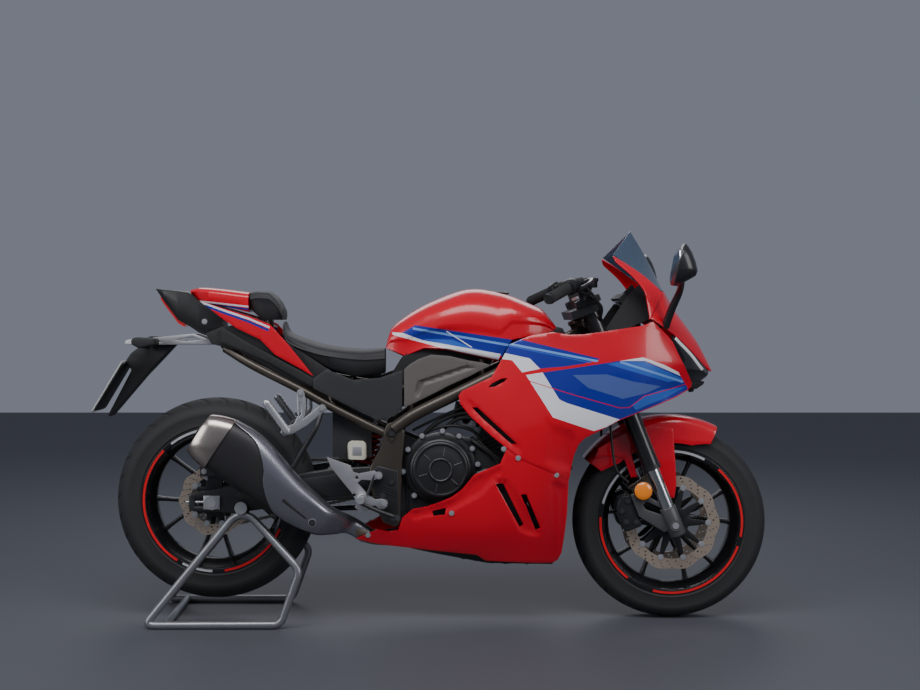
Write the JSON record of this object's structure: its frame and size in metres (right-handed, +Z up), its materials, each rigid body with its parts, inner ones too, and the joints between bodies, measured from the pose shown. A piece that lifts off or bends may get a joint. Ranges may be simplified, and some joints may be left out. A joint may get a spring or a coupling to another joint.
{
  "type": "sport motorcycle",
  "caption": "Full-fairing parallel-twin road motorcycle held upright by a tubular rear paddock stand, with turning wheels, steering and side stand.",
  "frame": {"origin": "on the floor, below the centre of the overall box", "axes": "+X forward, +Y to the rider's left, +Z up"},
  "size_m": [2.0895, 0.784, 1.2044],
  "materials": {
    "bronze_paint": "satin bronze-grey paint on steel tube",
    "black_metal": "satin black paint",
    "engine_black": "black-painted aluminium casting",
    "cover_grey": "dark grey satin engine covers",
    "header_steel": "heat-tinted steel",
    "muffler_black": "matt black paint",
    "guard_steel": "brushed steel",
    "steel": "brushed steel",
    "tank_red": "glossy red painted steel",
    "seat_vinyl": "black grained vinyl",
    "red_paint": "glossy red painted plastic",
    "black_plastic": "grained black plastic",
    "red_lens": "red lens",
    "grey_plastic": "dark grey satin plastic",
    "smoke_screen": "dark smoked acrylic",
    "lamp_glass": "dark clear-covered lamp",
    "silver_alloy": "bead-blasted aluminium",
    "stand_steel": "silver-grey painted steel tube",
    "wheel_black": "black-painted cast wheel",
    "tyre_rubber": "black road tyre",
    "disc_steel": "bronze-tinted brushed disc",
    "fork_metal": "black and chromed fork"
  },
  "bodies": {
    "chassis": {"frame": "bronze_paint", "subframe": "bronze_paint", "swingarm": "black_metal", "engine": "engine_black", "engine_covers": "cover_grey", "radiator": "black_metal", "exhaust_header": "header_steel", "muffler": "muffler_black", "muffler_guard": "guard_steel", "chain": "steel", "fuel_tank": "tank_red", "seats": "seat_vinyl", "seat_cowl": "red_paint", "tail_fairing": "black_plastic", "tail_panels": "red_paint", "tail_light": "red_lens", "rear_fender": "black_plastic", "rear_indicators": "black_plastic", "side_panels": "grey_plastic", "upper_cowl": "red_paint", "side_fairings": "red_paint", "lower_cowls": "red_paint", "windscreen": "smoke_screen", "headlights": "lamp_glass", "dashboard": "black_plastic", "mirrors": "black_plastic", "rider_footrests": "silver_alloy", "pillion_footrests": "silver_alloy", "shock_absorber": "black_metal", "battery_box": "black_plastic", "rear_caliper": "black_metal", "paddock_stand": "stand_steel"},
    "steering": {"fork_legs": "fork_metal", "triple_clamps": "black_metal", "handlebars": "black_metal", "front_fender": "red_paint", "front_calipers": "black_metal"},
    "front_wheel": {"front_rim": "wheel_black", "front_tyre": "tyre_rubber", "front_discs": "disc_steel"},
    "rear_wheel": {"rear_rim": "wheel_black", "rear_tyre": "tyre_rubber", "rear_disc": "disc_steel", "rear_sprocket": "steel"},
    "side_stand": {"side_stand": "black_metal"}
  },
  "joints": [
    {"name": "steering", "type": "hinge", "parent": "chassis", "child": "steering", "pos_m": [0.70744, 0, 0.28717], "axis": [-0.3665, 0, 0.9304], "range_deg": [-30, 30]},
    {"name": "front_wheel", "type": "hinge", "parent": "steering", "child": "front_wheel", "pos_m": [0.74, 0, 0.3], "axis": [0, 1, 0], "continuous": true},
    {"name": "rear_wheel", "type": "hinge", "parent": "chassis", "child": "rear_wheel", "pos_m": [-0.67, 0, 0.371], "axis": [0, 1, 0], "continuous": true},
    {"name": "side_stand", "type": "hinge", "parent": "chassis", "child": "side_stand", "pos_m": [-0.118, 0.18, 0.318], "axis": [0, 0.9336, 0.3584], "range_deg": [-100, 0]}
  ]
}
